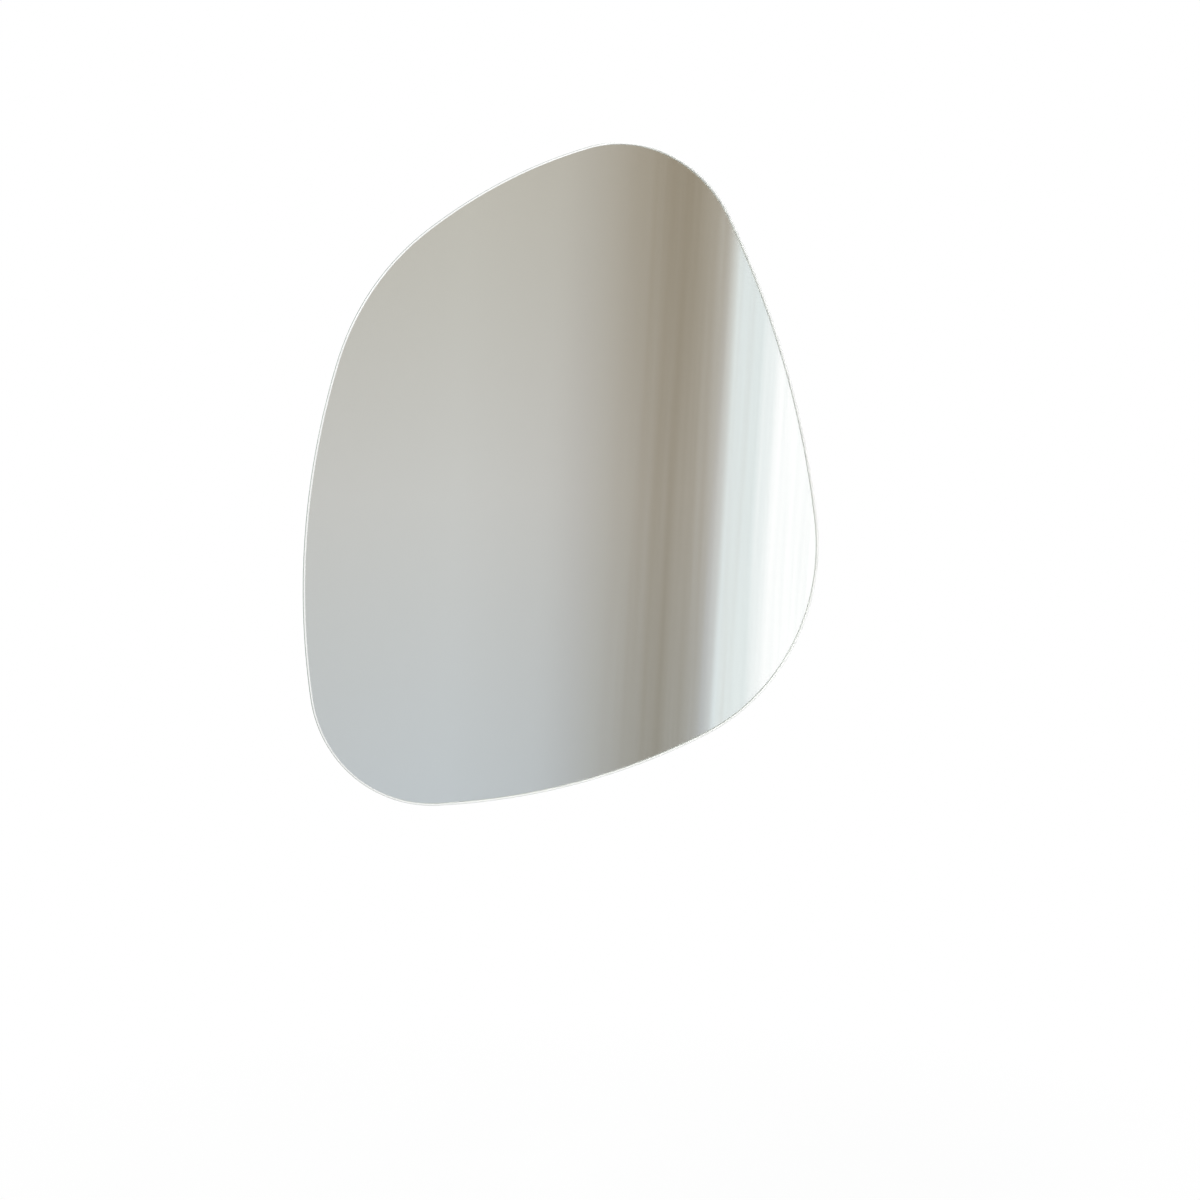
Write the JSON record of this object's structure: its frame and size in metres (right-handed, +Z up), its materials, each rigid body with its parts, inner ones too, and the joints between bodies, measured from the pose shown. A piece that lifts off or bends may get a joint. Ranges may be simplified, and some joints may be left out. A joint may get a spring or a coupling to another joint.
{
  "type": "irregular wall mirror",
  "caption": "Frameless wall mirror with a smooth lopsided outline and polished edge, bonded to a hidden backing board that hangs on an interlocking rail.",
  "frame": {"origin": "middle of the wall rail's line of screw holes, on the wall plane", "axes": "+Z up, +Y into the wall, so the mirror faces -Y, and +X to the viewer's right"},
  "size_m": [0.6772, 0.0248, 0.8016],
  "materials": {
    "glass_pane": "clear float glass with a rounded, polished edge",
    "silver_coating": "silvered, seen through the glass",
    "safety_film": "pale grey plastic film",
    "backing_board": "fine fibreboard, sanded",
    "rails": "extruded, satin",
    "screws": "bright zinc plated",
    "washers": "bright zinc plated",
    "bumpers": "matt black rubber",
    "foam_tape": "white double-sided foam tape",
    "adhesive": "cured mirror adhesive"
  },
  "bodies": {
    "wall_side": {"wall_rail": "rails"},
    "mirror": {"glass_pane": "glass_pane", "silver_coating": "silver_coating", "safety_film": "safety_film", "backing_board": "backing_board", "hanger_rail": "rails", "hanger_rail_screws": "screws", "bumper_screws": "screws", "bumper_washers": "washers", "bumper_top": "bumpers", "bumper_lower_left": "bumpers", "bumper_lower_right": "bumpers", "tape_strip_1": "foam_tape", "tape_strip_2": "foam_tape", "tape_strip_3": "foam_tape", "tape_strip_4": "foam_tape", "adhesive_bead_1": "adhesive", "adhesive_bead_2": "adhesive", "adhesive_bead_3": "adhesive"}
  },
  "joints": [
    {"name": "hang_lift", "type": "slide", "parent": "wall_side", "child": "mirror", "axis": [0, 0, 1], "range_m": [0, 0.012]}
  ]
}
